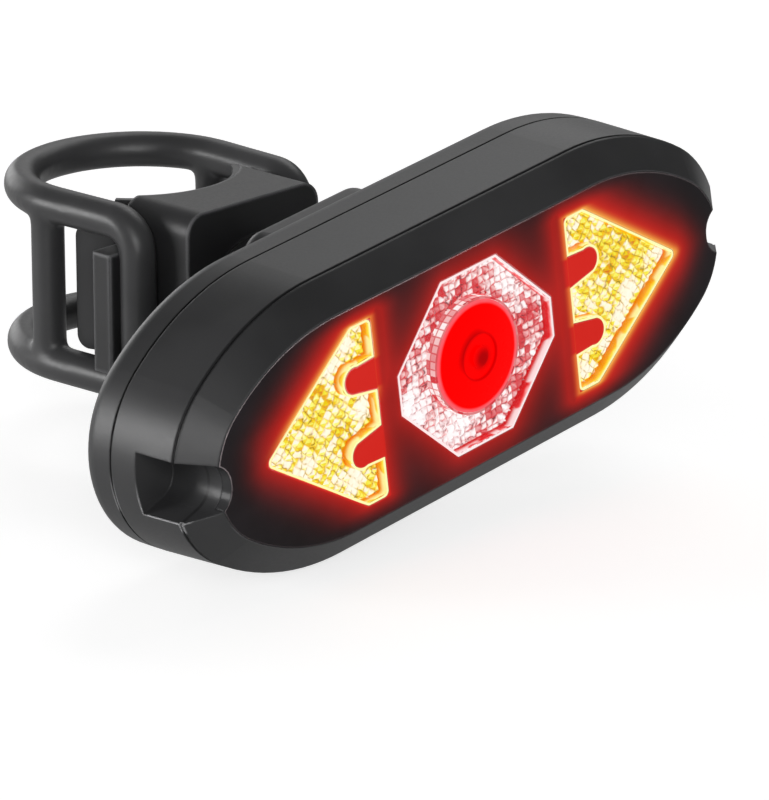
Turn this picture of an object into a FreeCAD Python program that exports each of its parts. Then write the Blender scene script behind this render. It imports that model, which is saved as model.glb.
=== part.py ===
import FreeCAD
import Part
import math
import os

# Rear turn signal light on its seat post bracket, in millimetres.
# Row frame: +Z runs up the seat post, the origin is on the post's axis at the lamp's height,
# and -Y points to the rear, the way the lamp shines.
# Lamp frame: x to the right seen from behind, y from the lens plane towards the post, z up.

Vec = FreeCAD.Vector

# Seat post, saddle and bracket block
post_radius = 13.6
pad_thickness = 1.0
pad_half_angle = 56.0
pad_half_height = 13.0
pad_tab_half_angle = 80.0
pad_tab_half_height = 9.1
pad_tab_corner = 2.0
bracket_half_width = 12.85
bracket_half_height = 13.7
bracket_corner = 3.2
bracket_core = 8.6
bracket_back_y = -10.6
hook_reach = 6.2
hook_top_z = 7.6
hook_bottom_z = -9.6
hook_chamfer = 0.25
hook_hollow = 0.4

# Rubber strap
strap_radius = 2.5
strap_bar_radius = 2.3
strap_level = 11.6
strap_slack = 0.05
strap_corner = 4.0
strap_end_x = 15.6
strap_end_y = -16.2
strap_bar_angle = 4.5

# Swivel and slide clip
lamp_turn = 8.0
swivel_disc_radius = 8.4
swivel_disc_depth = 4.5
swivel_gap = 0.2
hub_radius = 5.0
hub_depth = 2.2
running_gap = 0.05
washer_radius = 8.0
washer_thickness = 1.0
tongue_head_width = 19.0
tongue_head_depth = 3.0
tongue_neck_width = 13.0
tongue_top = 9.4
tongue_bottom = -12.5
slide_gap = 0.08
lip_depth = 2.8
screw_radius = 2.0
screw_head_radius = 3.8
screw_head_depth = 2.4
nut_half_flats = 3.5
nut_depth = 3.0
nut_inset = 0.2
screw_inset = 0.4

# Lamp outline at its widest edge: flat top and bottom, a long side curve and a round tip
edge_half_length = 54.0
edge_half_height = 19.9
straight_half = 25.5
tip_radius = 15.5
chamfer_width = 4.3
chamfer_depth = 4.0
band_draft = 0.4
band_depth = 11.2
cover_depth = 6.0
cover_round = 2.8
shell_wall = 2.4
cover_wall = 2.0
seam_width = 0.3
seam_depth = 0.4
ridge_width = 0.5
ridge_depth = 0.35
face_thickness = 1.8
ledge_width = 1.4
ledge_thickness = 1.2
merge = 0.4

# Notches at the two ends
notch_slope = 0.265
notch_inner_half = 2.85
notch_corner = 3.5
notch_reach = 47.4
notch_depth = 10.9
notch_wall = 1.6

# Windows in the front face
hex_half_width = 15.3
hex_half_height = 12.9
hex_top_half = 5.5
hex_side_half = 2.9
hex_lean = 22.5
brake_radius = 7.9
brake_dome = 0.7
brake_ring_radius = 3.3
brake_flange = 1.0
arrow_tip = 41.0
arrow_shoulder = 23.2
arrow_end = 19.2
arrow_half_height = 13.0
arrow_prong_inner = 7.3
arrow_middle_half = 2.65
arrow_scoop = 25.1
arrow_round = 0.9
lens_gap = 0.05
lens_flange = 0.8
lens_depth = 3.0

# Light baffle, circuit board and what is soldered to it
baffle_depth = 4.0
fit_gap = 0.3
board_end_gap = 0.5
board_thickness = 1.2
led_size = 2.0
led_height = 0.8
centre_led_size = 4.0
led_ring_radius = 10.4
arrow_side_inset = 2.6
arrow_side_shares = [0.09, 0.38, 0.7]
chip_size = 5.0
chip_height = 0.9
chip_x = -12.0
chip_z = 12.5
receiver_x = 24.0
receiver_z = 4.0
can_margin = 1.0
can_length = 7.0
receiver_length = 12.0
receiver_width = 8.0
receiver_board = 0.8
receiver_can = 1.3
battery_length = 42.0
battery_width = 22.0
battery_depth = 5.6
tab_width = 3.0
tab_thickness = 0.3

# Rear cover, boss, case screws and gasket
boss_half_width = 12.4
boss_half_height = 15.0
boss_depth = 10.8
boss_side_round = 4.0
boss_rear_round = 2.0
boss_gap = 10.4
boss_floor = 1.7
boss_wall = 3.3
screw_place_x = 31.0
screw_place_z = 13.8
post_outer_radius = 2.6
post_web_half = 1.0
case_screw_radius = 1.0
case_screw_head_radius = 1.9
case_screw_head_depth = 1.2
thread_hold = 8.0
thread_spare = 1.0
thread_gap = 0.02
hole_gap = 0.15
rib_radius = 1.5
rib_x = 38.5
rib_z = 6.5
gasket_width = 0.8
gasket_depth = 0.8

# Power button and charging socket
button_x = -33.0
button_radius = 4.5
button_gap = 0.15
button_proud = 0.6
button_flange = 1.0
button_travel = 0.8
stem_radius = 1.8
switch_size = 6.0
switch_height = 3.5
plunger_radius = 1.5
plunger_height = 0.8
port_x = 14.0
port_length = 8.94
port_height = 3.26
port_reach = 7.3
port_shell = 0.35
flap_length = 15.0
flap_width = 6.0
flap_thickness = 1.1
flap_gap = 0.25
hinge_gap = 0.6
port_margin = 0.75
plug_gap = 0.55
plug_depth = 1.0
blade_inset = 0.6

# Depths worked out from the sizes above, all measured from the lens plane
seam_y = chamfer_depth + band_depth
cover_back_y = seam_y + cover_depth
cover_inner_y = cover_back_y - cover_wall
boss_rear_y = cover_back_y + boss_depth
ledge_y = face_thickness + ledge_thickness
board_front_y = lens_depth + baffle_depth
board_back_y = board_front_y + board_thickness
board_half_length = notch_reach - notch_wall - board_end_gap
cavity_grow = -shell_wall
saddle_radius = post_radius + pad_thickness
bracket_front_y = -(saddle_radius + bracket_core)
lens_plane_y = bracket_front_y - boss_gap - boss_rear_y
bracket_face_y = boss_rear_y + boss_gap
slot_front_y = boss_rear_y - lip_depth - tongue_head_depth - 2.0 * slide_gap


def box(low, high):
    size = [high[i] - low[i] for i in range(3)]
    return Part.makeBox(size[0], size[1], size[2], Vec(*low))


def rod(radius, start, end):
    axis = Vec(*end) - Vec(*start)
    return Part.makeCylinder(radius, axis.Length, Vec(*start), axis)


def prism(wire, depth):
    return Part.Face(wire).extrude(Vec(0.0, depth, 0.0))


def joined(shapes):
    whole = shapes[0]
    for shape in shapes[1:]:
        whole = whole.fuse(shape)
    return whole


def polygon(points, y):
    corners = [Vec(x, y, z) for x, z in points]
    return Part.makePolygon(corners + corners[:1])


def mirrored_x(shape):
    return shape.mirror(Vec(0.0, 0.0, 0.0), Vec(1.0, 0.0, 0.0))


def mirrored_z(shape):
    return shape.mirror(Vec(0.0, 0.0, 0.0), Vec(0.0, 0.0, 1.0))


def flat_edges_at(shape, y):
    return [e for e in shape.Edges if abs(e.BoundBox.YMin - y) < 1e-4 and abs(e.BoundBox.YMax - y) < 1e-4]


def side_edges(shape, low_y, high_y):
    # straight edges that run along Y between two depths
    found = []
    for edge in shape.Edges:
        bounds = edge.BoundBox
        thin = bounds.XLength < 1e-4 and bounds.ZLength < 1e-4
        if thin and abs(bounds.YMin - low_y) < 1e-4 and abs(bounds.YMax - high_y) < 1e-4:
            found.append(edge)
    return found


def shell_outline(grow, y):
    # two straight lines, four side arcs and two tip arcs, each tangent to the next
    half_length = edge_half_length + grow
    half_height = edge_half_height + grow
    tip = tip_radius + grow
    run = half_length - tip - straight_half
    side = (run ** 2 + half_height ** 2 - tip ** 2) / (2.0 * (half_height - tip))
    lean = math.atan2(side - half_height, run)
    halfway = (math.pi / 2.0 + lean) / 2.0
    joint = (half_length - tip + tip * math.cos(lean), tip * math.sin(lean))
    middle = (straight_half + side * math.cos(halfway), half_height - side + side * math.sin(halfway))

    def at(point, sx, sz):
        return Vec(sx * point[0], y, sz * point[1])

    top = (straight_half, half_height)
    end = (half_length, 0.0)
    edges = []
    for sx, first, last in ((1, 1, -1), (-1, -1, 1)):
        edges.append(Part.LineSegment(at(top, -sx, first), at(top, sx, first)))
        edges.append(Part.Arc(at(top, sx, first), at(middle, sx, first), at(joint, sx, first)))
        edges.append(Part.Arc(at(joint, sx, first), at(end, sx, first), at(joint, sx, last)))
        edges.append(Part.Arc(at(joint, sx, last), at(middle, sx, last), at(top, sx, last)))
    return Part.Wire([edge.toShape() for edge in edges])


def shell_prism(grow, low_y, high_y):
    return prism(shell_outline(grow, low_y), high_y - low_y)


def shell_loft(low_grow, low_y, high_grow, high_y):
    wires = [shell_outline(low_grow, low_y), shell_outline(high_grow, high_y)]
    return Part.makeLoft(wires, True, True)


def shell_ring(outer_grow, inner_grow, low_y, high_y):
    return shell_prism(outer_grow, low_y, high_y).cut(shell_prism(inner_grow, low_y, high_y))


def notch_prism(grow, low_y, high_y):
    # slot with rounded inner corners that opens at the lamp's right end and widens a little towards it
    side = grow * math.hypot(1.0, notch_slope)
    inner_x = notch_reach - grow
    outer_x = edge_half_length + band_draft + notch_inner_half
    inner_z = notch_inner_half - grow * notch_slope + side
    outer_z = notch_inner_half + (outer_x - notch_reach) * notch_slope + side
    points = [(inner_x, inner_z), (outer_x, outer_z), (outer_x, -outer_z), (inner_x, -inner_z)]
    slot = prism(polygon(points, low_y), high_y - low_y)
    corners = [e for e in side_edges(slot, low_y, high_y) if e.BoundBox.XMax < inner_x + 0.1]
    return slot.makeFillet(notch_corner + grow, corners)


def both_notches(grow, low_y, high_y):
    right = notch_prism(grow, low_y, high_y)
    return right.fuse(mirrored_x(right))


def screw_places():
    return [(sx * screw_place_x, sz * screw_place_z) for sx in (-1, 1) for sz in (-1, 1)]


def rods_at(places, radius, low_y, high_y):
    return joined([rod(radius, (x, low_y, z), (x, high_y, z)) for x, z in places])


def octagon(grow, y):
    # outline of the centre window; grow moves every side outwards by the same amount
    corner = grow * math.tan(math.radians(hex_lean))
    quarter = [
        (hex_top_half + corner, hex_half_height + grow),
        (hex_half_width + grow, hex_side_half + corner),
    ]
    points = quarter[:]
    points += [(x, -z) for x, z in reversed(quarter)]
    points += [(-x, -z) for x, z in quarter]
    points += [(-x, z) for x, z in reversed(quarter)]
    return polygon(points, y)


def arrow_face(y):
    # right-hand arrow: a pointed head with three prongs parted by two round scoops
    def at(x, z):
        return Vec(x, y, z)

    scoop = arrow_prong_inner - arrow_middle_half
    outer_end = at(arrow_scoop - 0.55 * scoop, arrow_prong_inner - 0.04 * scoop)
    deepest = at(arrow_scoop, arrow_middle_half + 0.55 * scoop)
    inner_end = at(arrow_scoop - 0.25 * scoop, arrow_middle_half + 0.2 * scoop)
    inner = at(arrow_end, arrow_middle_half)
    chain = [
        at(arrow_tip, 0.0),
        at(arrow_shoulder, arrow_half_height),
        at(arrow_end, arrow_half_height),
        at(arrow_end, arrow_prong_inner),
        outer_end,
    ]
    upper = [Part.LineSegment(a, b).toShape() for a, b in zip(chain, chain[1:])]
    upper.append(Part.Arc(outer_end, deepest, inner_end).toShape())
    upper.append(Part.LineSegment(inner_end, inner).toShape())
    lower = [edge.mirror(at(0.0, 0.0), Vec(0.0, 0.0, 1.0)) for edge in upper]
    bridge = Part.LineSegment(inner, at(arrow_end, -arrow_middle_half)).toShape()
    return Part.Face(Part.Wire(Part.__sortEdges__(upper + [bridge] + lower)))


def arrow_prism(grow, low_y, high_y):
    solid = arrow_face(low_y).extrude(Vec(0.0, high_y - low_y, 0.0))
    corners = []
    for edge in side_edges(solid, low_y, high_y):
        bounds = edge.BoundBox
        at_tip = bounds.XMax > arrow_tip - 0.1
        at_heel = abs(bounds.ZMin) > arrow_half_height - 0.1
        if at_tip or at_heel:
            corners.append(edge)
    solid = solid.makeFillet(arrow_round, corners)
    if grow == 0.0:
        return solid
    face = [f for f in solid.Faces if abs(f.BoundBox.YMax - low_y) < 1e-4][0]
    return prism(face.OuterWire.makeOffset2D(grow), high_y - low_y)


def housing():
    body = shell_loft(-chamfer_width, 0.0, 0.0, chamfer_depth)
    body = body.fuse(shell_loft(0.0, chamfer_depth, band_draft, seam_y))
    body = body.cut(shell_prism(-chamfer_width, -1.0, face_thickness))
    body = body.cut(shell_prism(-chamfer_width - ledge_width, face_thickness, ledge_y))
    body = body.cut(shell_prism(cavity_grow, ledge_y, seam_y + 1.0))
    pockets = both_notches(notch_wall, face_thickness, notch_depth + notch_wall)
    front = shell_prism(merge - chamfer_width - ledge_width, face_thickness, ledge_y)
    inside = front.fuse(shell_prism(cavity_grow + merge, ledge_y - merge, notch_depth + notch_wall))
    body = body.fuse(pockets.common(inside))
    body = body.fuse(rods_at(screw_places(), post_outer_radius, ledge_y - merge, seam_y))
    wall_z = edge_half_height - shell_wall + merge
    for x, z in screw_places():
        low_z, high_z = sorted((z, math.copysign(wall_z, z)))
        body = body.fuse(box((x - post_web_half, ledge_y, low_z), (x + post_web_half, seam_y, high_z)))
    body = body.cut(both_notches(0.0, -1.0, notch_depth))
    pilot_end = seam_y - thread_hold - thread_spare
    body = body.cut(rods_at(screw_places(), case_screw_radius + thread_gap, pilot_end, seam_y + 1.0))
    ridge = shell_ring(band_draft + 1.0, -ridge_depth, chamfer_depth, chamfer_depth + ridge_width)
    body = body.cut(ridge)
    return body.cut(flap_recess()).cut(port_opening())


def face_panel():
    panel = shell_prism(-chamfer_width - lens_gap, 0.0, face_thickness)
    panel = panel.cut(both_notches(0.0, -1.0, face_thickness + 1.0))
    panel = panel.cut(prism(octagon(0.0, -1.0), face_thickness + 2.0))
    arrow = arrow_prism(0.0, -1.0, face_thickness + 1.0)
    return panel.cut(arrow).cut(mirrored_x(arrow))


def hexagon_reflector():
    block = prism(octagon(-lens_gap, 0.0), lens_depth)
    block = block.fuse(prism(octagon(lens_flange, face_thickness), lens_depth - face_thickness))
    return block.cut(rod(brake_radius, (0.0, -1.0, 0.0), (0.0, lens_depth + 1.0, 0.0)))


def brake_lens():
    outer = brake_radius - lens_gap
    middle = (0.0, lens_depth, 0.0)
    body = rod(outer, (0.0, 0.0, 0.0), middle)
    body = body.fuse(rod(outer + brake_flange, middle, (0.0, lens_depth + brake_flange, 0.0)))
    ball = (outer ** 2 + brake_dome ** 2) / (2.0 * brake_dome)
    dome = Part.makeSphere(ball, Vec(0.0, ball - brake_dome, 0.0))
    dome = dome.common(rod(outer, (0.0, -brake_dome - 1.0, 0.0), (0.0, lens_depth * 0.5, 0.0)))
    body = body.fuse(dome)
    ring = rod(brake_ring_radius, (0.0, -brake_dome - 1.0, 0.0), (0.0, -brake_dome * 0.45, 0.0))
    ring = ring.cut(rod(brake_ring_radius * 0.45, (0.0, -brake_dome - 1.0, 0.0), (0.0, 0.0, 0.0)))
    return body.cut(ring)


def arrow_lens():
    body = arrow_prism(-lens_gap, 0.0, lens_depth)
    return body.fuse(arrow_prism(lens_flange, face_thickness, lens_depth))


def board_blank(low_y, high_y):
    blank = shell_prism(cavity_grow - fit_gap, low_y, high_y)
    height = 2.0 * edge_half_height
    blank = blank.common(box((-board_half_length, low_y, -height), (board_half_length, high_y, height)))
    blank = blank.cut(rods_at(screw_places(), post_outer_radius + fit_gap, low_y - 1.0, high_y + 1.0))
    web = post_web_half + fit_gap
    for x, z in screw_places():
        low_z, high_z = sorted((z, math.copysign(edge_half_height, z)))
        blank = blank.cut(box((x - web, low_y - 1.0, low_z), (x + web, high_y + 1.0, high_z)))
    return blank


def light_baffle():
    plate = board_blank(lens_depth, board_front_y)
    window = prism(octagon(-lens_flange, lens_depth - 1.0), baffle_depth + 2.0)
    plate = plate.cut(window)
    inner = arrow_half_height - lens_flange
    points = [
        (arrow_tip - 2.0 * lens_flange, 0.0),
        (arrow_shoulder, inner),
        (arrow_end + lens_flange, inner),
        (arrow_end + lens_flange, -inner),
        (arrow_shoulder, -inner),
    ]
    chamber = prism(polygon(points, lens_depth - 1.0), baffle_depth + 2.0)
    return plate.cut(chamber).cut(mirrored_x(chamber))


def led_board():
    return board_blank(board_front_y, board_back_y)


def led_block(x, z, size):
    half = size / 2.0
    return box((x - half, board_front_y - led_height, z - half), (x + half, board_front_y, z + half))


def arrow_led_places():
    # one at the heel, one at the tip and a row between them inside each slanting side
    run = arrow_tip - arrow_shoulder
    slant = math.hypot(run, arrow_half_height)
    heel_x = arrow_end + lens_flange + led_size / 2.0 + fit_gap
    tip_x = arrow_tip - arrow_side_inset * slant / arrow_half_height
    places = [(heel_x, 0.0), (tip_x, 0.0)]
    for share in arrow_side_shares:
        x = heel_x + share * (tip_x - heel_x)
        slant_z = ((arrow_tip - x) * arrow_half_height - arrow_side_inset * slant) / run
        z = min(slant_z, arrow_half_height - arrow_side_inset)
        places += [(x, z), (x, -z)]
    return places


def amber_leds():
    blocks = [led_block(sx * x, z, led_size) for sx in (-1, 1) for x, z in arrow_led_places()]
    return Part.Compound(blocks)


def red_leds():
    blocks = [led_block(0.0, 0.0, centre_led_size)]
    for step in range(8):
        turn = math.radians(45.0 * step)
        x = led_ring_radius * math.cos(turn)
        blocks.append(led_block(x, led_ring_radius * math.sin(turn), led_size))
    return Part.Compound(blocks)


def control_chip():
    half = chip_size / 2.0
    low = (chip_x - half, board_back_y, chip_z - half)
    return box(low, (chip_x + half, board_back_y + chip_height, chip_z + half))


def radio_receiver():
    half_l = receiver_length / 2.0
    half_w = receiver_width / 2.0
    low_x = receiver_x - half_l
    top = board_back_y + receiver_board
    board = box((low_x, board_back_y, receiver_z - half_w), (receiver_x + half_l, top, receiver_z + half_w))
    can_low = (low_x + can_margin, board_back_y, receiver_z - half_w + can_margin)
    can_high = (low_x + can_margin + can_length, top + receiver_can, receiver_z + half_w - can_margin)
    return board.fuse(box(can_low, can_high))


def battery_box():
    half_l = battery_length / 2.0
    half_w = battery_width / 2.0
    return (-half_l, cover_inner_y - battery_depth, -half_w), (half_l, cover_inner_y, half_w)


def battery():
    low, high = battery_box()
    cell = box(low, high)
    long_edges = [e for e in cell.Edges if e.BoundBox.XLength > battery_length - 0.1]
    return cell.makeFillet(battery_depth * 0.3, long_edges)


def battery_tabs():
    low, high = battery_box()
    tabs = []
    for z in (-battery_width * 0.25, battery_width * 0.25):
        foot = box((low[0] - tab_width, board_back_y, z - tab_width / 2.0),
                   (low[0] - tab_thickness, board_back_y + tab_thickness, z + tab_width / 2.0))
        riser = box((low[0] - tab_thickness, board_back_y, z - tab_width / 2.0),
                    (low[0], low[1] + battery_depth / 2.0, z + tab_width / 2.0))
        tabs.append(foot.fuse(riser))
    return Part.Compound(tabs)


def button_switch():
    half = switch_size / 2.0
    top = board_back_y + switch_height
    body = box((button_x - half, board_back_y, -half), (button_x + half, top, half))
    tip = (button_x, top + plunger_height, 0.0)
    return body.fuse(rod(plunger_radius, (button_x, top - merge, 0.0), tip))


def power_button():
    back = cover_back_y + button_proud
    cap = rod(button_radius, (button_x, cover_inner_y, 0.0), (button_x, back, 0.0))
    cap = cap.makeFillet(button_proud * 0.6, flat_edges_at(cap, back))
    flange = rod(button_radius + button_flange, (button_x, cover_inner_y - button_flange, 0.0),
                 (button_x, cover_inner_y, 0.0))
    stem_end = board_back_y + switch_height + plunger_height + button_travel + running_gap
    stem = rod(stem_radius, (button_x, stem_end, 0.0), (button_x, cover_inner_y, 0.0))
    return joined([cap, flange, stem])


def flap_edges():
    # low and high x of the flap's plate, the y span and the height of its inner face
    low_x = port_x - flap_length / 2.0
    high_x = port_x + flap_length / 2.0
    middle_y = board_back_y + port_height / 2.0
    inner_z = -(edge_half_height - flap_thickness + flap_gap)
    return low_x, high_x, middle_y - flap_width / 2.0, middle_y + flap_width / 2.0, inner_z


def flap_recess():
    low_x, high_x, low_y, high_y, inner_z = flap_edges()
    floor = inner_z + running_gap
    return box((low_x - hinge_gap, low_y - flap_gap, -2.0 * edge_half_height),
               (high_x + flap_gap, high_y + flap_gap, floor))


def port_opening():
    half_x = port_length / 2.0 + port_margin
    half_y = port_height / 2.0 + plug_gap
    middle_y = board_back_y + port_height / 2.0
    return box((port_x - half_x, middle_y - half_y, -edge_half_height),
               (port_x + half_x, middle_y + half_y, -edge_half_height + 2.0 * shell_wall))


def usb_cover():
    low_x, high_x, low_y, high_y, inner_z = flap_edges()
    band = shell_loft(0.0, chamfer_depth, band_draft, seam_y)
    hinge_radius = flap_thickness / 2.0
    plate_low = (low_x + hinge_radius, low_y, -2.0 * edge_half_height)
    plate = box(plate_low, (high_x, high_y, inner_z)).common(band)
    knuckle = rod(hinge_radius, (low_x + hinge_radius, low_y, inner_z - hinge_radius),
                  (low_x + hinge_radius, high_y, inner_z - hinge_radius))
    half_x = port_length / 2.0 + port_margin - plug_gap
    half_y = port_height / 2.0
    middle_y = board_back_y + port_height / 2.0
    plug = box((port_x - half_x, middle_y - half_y, inner_z - 0.2),
               (port_x + half_x, middle_y + half_y, inner_z + plug_depth))
    return joined([plate, knuckle, plug])


def usb_socket():
    half = port_length / 2.0
    mouth = -(edge_half_height - shell_wall - fit_gap)
    high = board_back_y + port_height
    outer = box((port_x - half, board_back_y, mouth), (port_x + half, high, mouth + port_reach))
    rounded = [e for e in outer.Edges if e.BoundBox.ZLength > port_reach - 0.1]
    outer = outer.makeFillet(port_height * 0.4, rounded)
    wall = port_shell
    inner = box((port_x - half + wall, board_back_y + wall, mouth - 1.0),
                (port_x + half - wall, high - wall, mouth + port_reach - 1.0))
    rounded = [e for e in inner.Edges if e.BoundBox.ZLength > port_reach - 0.1]
    inner = inner.makeFillet(port_height * 0.3, rounded)
    blade_y = (board_back_y + high) / 2.0
    blade = box((port_x - half * 0.7, blade_y - wall, mouth + blade_inset),
                (port_x + half * 0.7, blade_y + wall, mouth + port_reach - wall))
    return outer.cut(inner).fuse(blade)


def boss_block():
    front_y = seam_y + cover_wall
    low = (-boss_half_width, front_y, -boss_half_height)
    block = box(low, (boss_half_width, boss_rear_y, boss_half_height))
    block = block.makeFillet(boss_side_round, side_edges(block, front_y, boss_rear_y))
    return block.makeFillet(boss_rear_round, flat_edges_at(block, boss_rear_y))


def boss_slot():
    # T slot for the clip's tongue, open at the bottom and in the rear face; its top rests on the tongue
    bottom = -2.0 * boss_half_height
    head = tongue_head_width / 2.0 + slide_gap
    neck = tongue_neck_width / 2.0 + slide_gap
    wide = box((-head, slot_front_y, bottom), (head, boss_rear_y - lip_depth, tongue_top))
    narrow = box((-neck, slot_front_y, bottom), (neck, boss_rear_y + 1.0, tongue_top))
    return wide.fuse(narrow)


def rear_cover():
    plate = shell_prism(band_draft, seam_y, cover_back_y)
    plate = plate.makeFillet(cover_round, flat_edges_at(plate, cover_back_y))
    body = plate.fuse(boss_block())
    body = body.cut(shell_prism(band_draft - cover_wall, seam_y - 1.0, cover_inner_y))
    hollow_x = boss_half_width - boss_wall
    hollow_z = boss_half_height - boss_wall
    hollow_end = slot_front_y - boss_floor
    body = body.cut(box((-hollow_x, cover_inner_y - 1.0, -hollow_z), (hollow_x, hollow_end, hollow_z)))
    body = body.cut(boss_slot())
    body = body.fuse(rods_at(screw_places(), post_outer_radius, seam_y, cover_inner_y))
    ribs = [(sx * rib_x, sz * rib_z) for sx in (-1, 1) for sz in (-1, 1)]
    body = body.fuse(rods_at(ribs, rib_radius, board_back_y, cover_inner_y + merge))
    body = body.cut(rods_at(screw_places(), case_screw_radius + hole_gap, seam_y - 1.0, cover_back_y + 1.0))
    seat = cover_back_y - case_screw_head_depth
    body = body.cut(rods_at(screw_places(), case_screw_head_radius + fit_gap, seat, cover_back_y + 1.0))
    hole_low = (button_x, cover_inner_y - 1.0, 0.0)
    body = body.cut(rod(button_radius + button_gap, hole_low, (button_x, cover_back_y + 1.0, 0.0)))
    body = body.cut(gasket_ring(seam_y - 1.0))
    seam = shell_ring(band_draft + 1.0, band_draft - seam_depth, seam_y, seam_y + seam_width)
    return body.cut(seam)


def gasket_ring(low_y):
    outer = band_draft - seam_depth - (cover_wall - seam_depth - gasket_width) / 2.0
    return shell_ring(outer, outer - gasket_width, low_y, seam_y + gasket_depth)


def cross_recess(x, top_y, z, size, depth):
    # driver slots cut into a screw head that faces the post
    slots = []
    for half_x, half_z in ((size, size * 0.22), (size * 0.22, size)):
        slots.append(box((x - half_x, top_y - depth, z - half_z), (x + half_x, top_y + 1.0, z + half_z)))
    return joined(slots)


def case_screws():
    screws = []
    seat = cover_back_y - case_screw_head_depth
    for x, z in screw_places():
        shank = rod(case_screw_radius, (x, seam_y - thread_hold, z), (x, seat + merge, z))
        head = rod(case_screw_head_radius, (x, seat, z), (x, cover_back_y, z))
        head = head.makeFillet(case_screw_head_depth * 0.3, flat_edges_at(head, cover_back_y))
        recess = cross_recess(x, cover_back_y, z, case_screw_head_radius * 0.6, case_screw_head_depth * 0.5)
        screws.append(head.fuse(shank).cut(recess))
    return Part.Compound(screws)


def clip_plate():
    # drawn in the lamp frame, because it turns with the lamp
    disc_back = bracket_face_y - swivel_gap
    disc_front = disc_back - swivel_disc_depth
    disc = rod(swivel_disc_radius, (0.0, disc_front, 0.0), (0.0, disc_back, 0.0))
    hub = rod(hub_radius, (0.0, disc_back - merge, 0.0), (0.0, disc_back + hub_depth, 0.0))
    head_front = slot_front_y + slide_gap
    neck_half = tongue_neck_width / 2.0
    head_half = tongue_head_width / 2.0
    neck = box((-neck_half, head_front, tongue_bottom), (neck_half, disc_front + merge, tongue_top))
    head_back = head_front + tongue_head_depth
    head = box((-head_half, head_front, tongue_bottom), (head_half, head_back, tongue_top))
    body = joined([disc, hub, neck, head])
    start = (0.0, head_front - 1.0, 0.0)
    body = body.cut(rod(screw_radius + running_gap, start, (0.0, disc_back + hub_depth + 1.0, 0.0)))
    seat = head_front + screw_head_depth + fit_gap
    return body.cut(rod(screw_head_radius + fit_gap, start, (0.0, seat, 0.0)))


def swivel_screw():
    head_front = lens_plane_y + slot_front_y + slide_gap + fit_gap
    seat = head_front + screw_head_depth
    head = rod(screw_head_radius, (0.0, head_front, 0.0), (0.0, seat, 0.0))
    head = head.makeFillet(screw_head_depth * 0.3, flat_edges_at(head, head_front))
    shank = rod(screw_radius, (0.0, seat - merge, 0.0), (0.0, -saddle_radius - screw_inset, 0.0))
    recess = cross_recess(0.0, 0.0, 0.0, screw_head_radius * 0.6, screw_head_depth * 0.5)
    recess.rotate(Vec(0.0, 0.0, 0.0), Vec(0.0, 0.0, 1.0), 180.0)
    recess.translate(Vec(0.0, head_front, 0.0))
    return head.fuse(shank).cut(recess)


def six_sided(half_flats, low_y, high_y):
    radius = half_flats / math.cos(math.radians(30.0))
    turns = [math.radians(60.0 * step) for step in range(6)]
    points = [(radius * math.cos(turn), radius * math.sin(turn)) for turn in turns]
    return prism(polygon(points, low_y), high_y - low_y)


def nut_low_y():
    return -saddle_radius - nut_inset - nut_depth


def swivel_nut():
    low = nut_low_y()
    nut = six_sided(nut_half_flats, low, low + nut_depth)
    return nut.cut(rod(screw_radius + thread_gap, (0.0, low - 1.0, 0.0), (0.0, 0.0, 0.0)))


def swivel_washer():
    back = bracket_front_y - swivel_gap + washer_thickness
    ring = rod(washer_radius, (0.0, back - washer_thickness, 0.0), (0.0, back, 0.0))
    return ring.cut(rod(hub_radius + fit_gap, (0.0, back - 3.0, 0.0), (0.0, back + 1.0, 0.0)))


def hook():
    # rib on the bracket's right side that holds one end of the strap, hollowed to the strap's round
    inner = bracket_half_width - merge
    outer = bracket_half_width + hook_reach
    front = strap_end_y + strap_radius - hook_hollow
    rib = box((inner, front, hook_bottom_z), (outer, bracket_back_y, hook_top_z))
    corners = [e for e in rib.Edges if e.BoundBox.ZLength > 1.0 and e.BoundBox.XMin > outer - 0.1]
    rib = rib.makeChamfer(hook_chamfer, corners)
    for piece in strap_quarter():
        rib = rib.cut(piece).cut(mirrored_z(piece))
    return rib


def bracket_body():
    low = (-bracket_half_width, bracket_front_y, -bracket_half_height)
    block = box(low, (bracket_half_width, bracket_back_y, bracket_half_height))
    block = block.makeFillet(bracket_corner, side_edges(block, bracket_front_y, bracket_back_y))
    block = block.fuse(hook()).fuse(mirrored_x(hook()))
    tall = 2.0 * bracket_half_height
    block = block.cut(rod(saddle_radius, (0.0, 0.0, -tall), (0.0, 0.0, tall)))
    start = (0.0, bracket_front_y - 1.0, 0.0)
    washer_seat = bracket_front_y - swivel_gap + washer_thickness
    block = block.cut(rod(washer_radius + fit_gap, start, (0.0, washer_seat, 0.0)))
    hub_end = bracket_front_y - swivel_gap + hub_depth
    block = block.cut(rod(hub_radius + running_gap, start, (0.0, hub_end + fit_gap, 0.0)))
    block = block.cut(rod(screw_radius + thread_gap, start, (0.0, 0.0, 0.0)))
    return block.cut(six_sided(nut_half_flats + running_gap, nut_low_y(), 0.0))


def pad_sector(half_angle, half_height):
    outer = rod(saddle_radius, (0.0, 0.0, -half_height), (0.0, 0.0, half_height))
    inner = rod(post_radius, (0.0, 0.0, -half_height), (0.0, 0.0, half_height))
    reach = 3.0 * saddle_radius
    angle = math.radians(half_angle)
    corners = [
        Vec(0.0, 0.0, -half_height),
        Vec(-reach * math.sin(angle), -reach * math.cos(angle), -half_height),
        Vec(0.0, -2.0 * reach, -half_height),
        Vec(reach * math.sin(angle), -reach * math.cos(angle), -half_height),
        Vec(0.0, 0.0, -half_height),
    ]
    wedge = Part.Face(Part.makePolygon(corners)).extrude(Vec(0.0, 0.0, 2.0 * half_height))
    return outer.cut(inner).common(wedge)


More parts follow.
